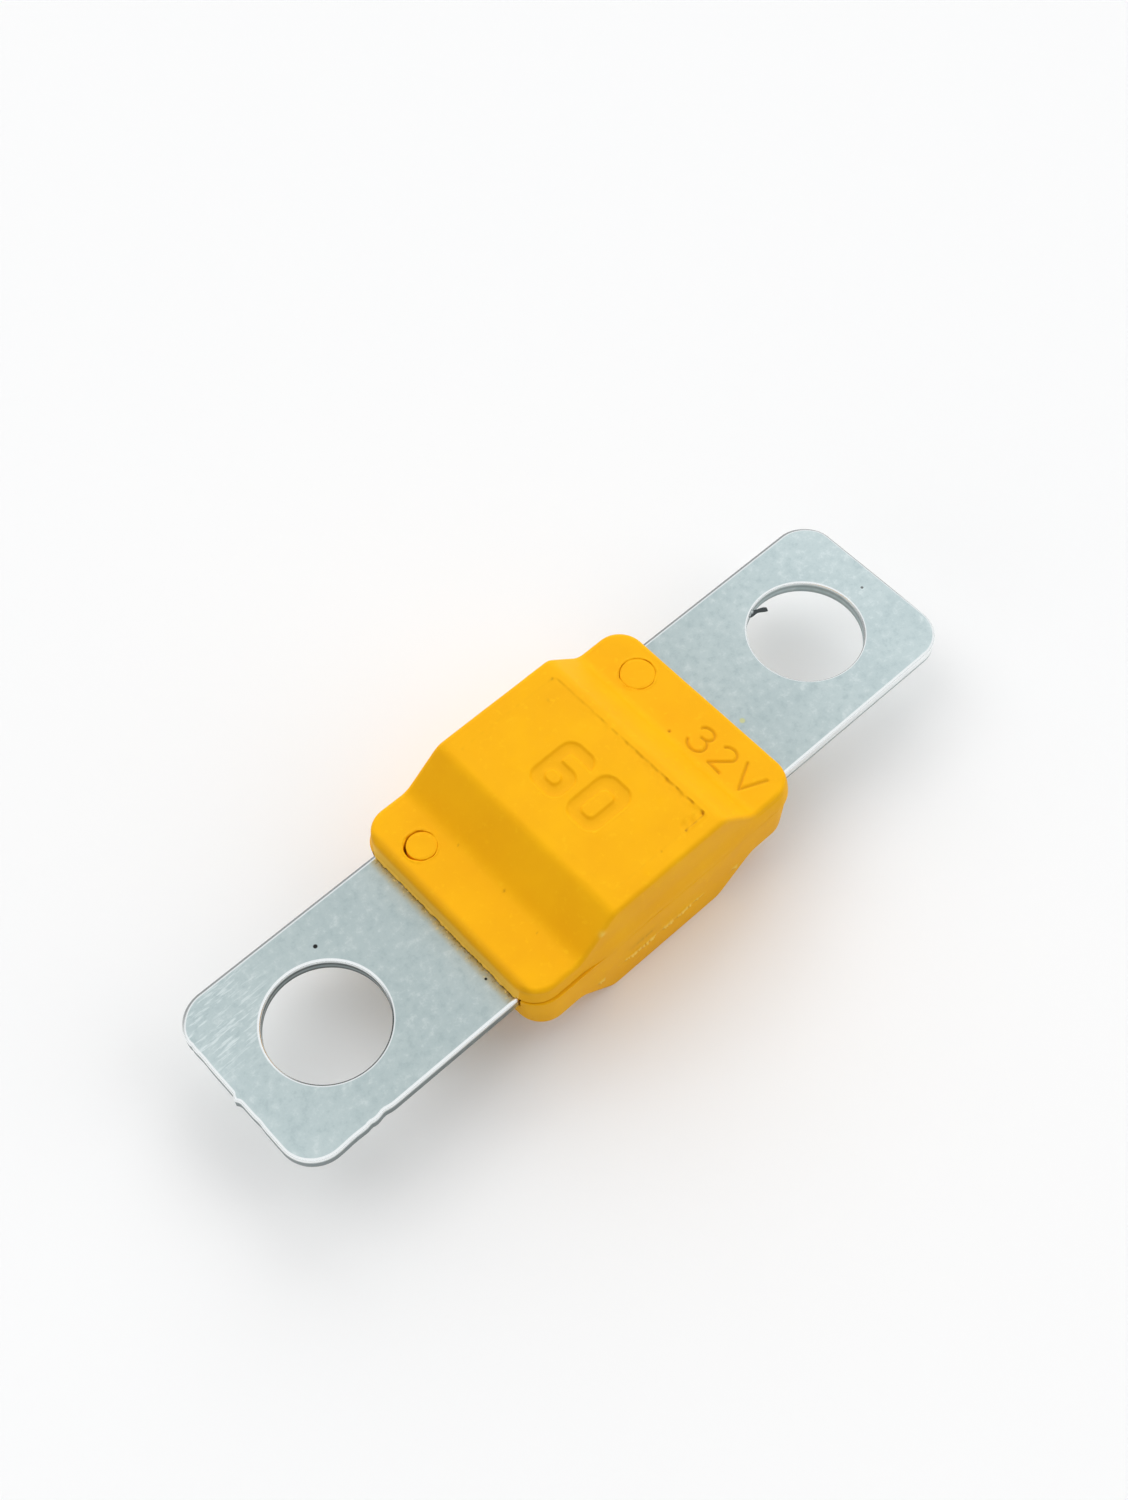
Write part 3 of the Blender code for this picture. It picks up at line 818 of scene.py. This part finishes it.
def plated_metal():
    """Bright plating over a rolled sheet: a cool grey with faint clouds and crystals, with a painted
    reflection that makes it brightest at the ends, brush lines, a scratched near corner, a painted highlight
    on the rolled edges, the cut metal's darker tone with painted shade, and a yellow-brown band with crumbs
    in it beside the near shell."""
    material, wires, shader = new_material("plated_metal", {"Metallic": 1.0})
    place = wires.node("TexCoord", out="Object")
    cloud = wires.node("TexNoise", {"Vector": place, "Scale": 350.0, "Detail": 4.0, "Roughness": 0.6})
    stretched = wires.node("Mapping", {"Vector": place, "Scale": (1300.0, 9000.0, 2000.0)})
    brushed = wires.node("TexNoise", {"Vector": stretched, "Scale": 1.0, "Detail": 3.0})
    crystals = wires.node("TexNoise", {"Vector": place, "Scale": 2200.0, "Detail": 4.0, "Roughness": 0.7})
    crumbs = wires.node("TexNoise", {"Vector": place, "Scale": 6500.0, "Detail": 2.0})
    rolled = wires.attribute("rolled")
    along = wires.node("SeparateXYZ", {"Vector": place}, out="X") / (STRIP_END * MM)
    across = wires.node("SeparateXYZ", {"Vector": place}, out="Y")
    tone = cloud.ramp(PLATE, CLOUD_PLATE)
    tone = crystals.between(0.5, 0.75).mixed(tone, PALE_CRYSTAL)
    tone = (crystals.between(0.5, 0.3) * 0.6).mixed(tone, DARK_CRYSTAL)
    scratched = brushed.between(0.5, 0.65) * along.between(-0.74, -0.86) * across.between(0, 2.2 * MM)
    tone = (scratched * 0.55).mixed(tone, SCRATCH)
    # a painted reflection: the metal brighter towards its ends
    towards_ends = (along + 0.15) * (along + 0.15)
    tone = towards_ends.between(0.05, 1.25).mixed(DULL, BRIGHT).times(tone)
    # a painted highlight on the rolled edge, over its real burnish
    tone = rolled.mixed(tone, ROLLED_METAL)
    # the cut metal's darker tone, with painted shade where it faces away from the light
    tone = wires.attribute("cut").mixed(tone, CUT_METAL)
    # a yellow-brown band with pale and dark crumbs in it, beside the near shell
    beside_shell = along.between(-0.442, -0.412) * along.between(-0.3, -0.4) * (1 - rolled)
    tone = (beside_shell * (0.45 + crystals.between(0.3, 0.6) * 0.55)).mixed(tone, STAIN)
    tone = (beside_shell * crumbs.between(0.62, 0.7)).mixed(tone, PALE_CRUMB)
    tone = (beside_shell * crumbs.between(0.4, 0.32) * 0.6).mixed(tone, DARK_CRUMB)
    for spot, size, colour in marks:
        spot = [k * MM for k in (*spot, STRIP_TOP)]
        away = wires.node("VectorMath", {0: place, 1: spot}, {"operation": "DISTANCE"}, out="Value")
        tone = away.between(size * MM, 0.6 * size * MM).mixed(tone, colour)
    rough = 0.3 + 0.1 * cloud + 0.1 * crystals - 0.15 * rolled
    bump = wires.node("Bump", {"Strength": 0.6, "Distance": 0.004 * MM, "Height": brushed + crystals * 1.2})
    feed(wires, shader, Base_Color=tone, Roughness=rough, Normal=bump)
    return material


strip = welded("plated_strip", strip_patches, plated_metal(), crease_angle=50)

# The rolled edge is bright down to the torn zone, whose depth differs: a painted highlight over its real
# burnish.
# Below it the cut metal is darker, and painted shade darkens it further where it faces away from the light,
# in streaks down the bolt holes' walls, and all over the far hole's burr.
x, y, z = places(strip).T
depth = STRIP_TOP - z
bolt_hole = np.hypot(np.abs(x) - BOLT_X, y) < BOLT_RADIUS + 0.15
burr = np.hypot(x - BOLT_X, y) < BOLT_RADIUS - 0.03
far_side = np.maximum(smooth(3.3, 4.8, y), smooth(18.4, 19.8, x) * smooth(-3.2, -0.8, y))
turned_away = np.where(bolt_hole, smooth(0.2, -2.0, y), far_side)
torn_zone = np.where(bolt_hole, 0.12, np.where(x < 0, 0.18, 0.5))
cut = np.maximum(smooth(torn_zone, torn_zone + 0.15, depth), turned_away * smooth(0.006, 0.02, depth))
streaks = np.interp(depth, (0.3, 0.43, 0.52, 0.6, 0.7), (1.0, 0.45, 0.5, 0.9, 0.8))
streaks = streaks * np.where(x < 0, 1.0, 0.56)
cut = cut * np.where(bolt_hole, streaks, 0.66)
# the rolled edge's painted highlight, and the cut metal's darker tone with painted shade, full on the far
# hole's burr
paint(
    strip,
    rolled=(depth > LEVEL) * smooth(torn_zone + 0.12, torn_zone, depth) * ~burr,
    cut=np.where(burr, 1.0, cut * (depth < STRIP_THICKNESS - LEVEL)),
)
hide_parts("fuse_strip")
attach(strip, "root")


# The table: a plain white sheet under the fuse, with the least glow where it is seen or mirrored, so that
# it shows white and keeps the fuse's shadow.
TABLE_HALF = 2.0  # in metres
TABLE_GLOW = 0.05
sheet = [(x * TABLE_HALF, y * TABLE_HALF, 0) for x, y in ((-1, -1), (1, -1), (1, 1), (-1, 1))]
floor_mesh = bpy.data.meshes.new("floor")
floor_mesh.from_pydata(sheet, [], [(0, 1, 2, 3)])
white, wires, shader = new_material("white_table", {"Base Color": (0.87, 0.87, 0.87, 1), "Roughness": 0.9})
seen = (wires.node("LightPath", out="Is Camera Ray") + wires.node("LightPath", out="Is Glossy Ray")
        + wires.node("LightPath", out="Is Transmission Ray"))
glow = wires.node("Emission", {"Strength": seen * TABLE_GLOW})
both = wires.node("AddShader", {0: Wire(wires.tree, shader.outputs[0]), 1: glow})
wires.tree.links.new(both.socket, wires.tree.nodes["Material Output"].inputs["Surface"])
floor_mesh.materials.append(white)
floor = bpy.data.objects.new("floor", floor_mesh)
bpy.context.scene.collection.objects.link(floor)


# The daylight: a sky that is dim where it lights the fuse and bright where the metal mirrors it, and wide,
# soft suns that light the rest, mostly from the far and right side.
SUN_WIDTH = math.radians(50)
suns = [  # (azimuth, elevation, strength)
    (180, 8, 0.5), (315, 30, 0.76), (45, 30, 1.06), (90, 30, 0.44), (0, 60, 0.6), (120, 60, 0.76),
]
world = bpy.data.worlds.new("daylight")
bpy.context.scene.world = world
world.use_nodes = True
sky = Wire(world.node_tree)
background = world.node_tree.nodes["Background"]
background.inputs["Color"].default_value = (0.98, 0.99, 1.0, 1)
height = sky.node("SeparateXYZ", {"Vector": sky.node("TexCoord", out="Generated")}, out="Z")
mirrored = sky.node("LightPath", out="Is Glossy Ray") * (height.between(0.0, 0.4) * 0.5 + 0.15)
brightness = 0.3 + mirrored + sky.node("LightPath", out="Is Camera Ray") * 0.7
world.node_tree.links.new(brightness.socket, background.inputs["Strength"])
for azimuth, elevation, strength in suns:
    sun = bpy.data.lights.new("soft_sun", "SUN")
    sun.energy = strength
    sun.angle = SUN_WIDTH
    lamp = bpy.data.objects.new("soft_sun", sun)
    around, up = math.radians(azimuth), math.radians(elevation)
    towards = Vector((math.cos(around) * math.cos(up), math.sin(around) * math.cos(up), math.sin(up)))
    lamp.rotation_euler = towards.to_track_quat("Z", "Y").to_euler()
    lamp.visible_glossy = False
    bpy.context.scene.collection.objects.link(lamp)
bpy.context.scene.view_settings.view_transform = "Standard"
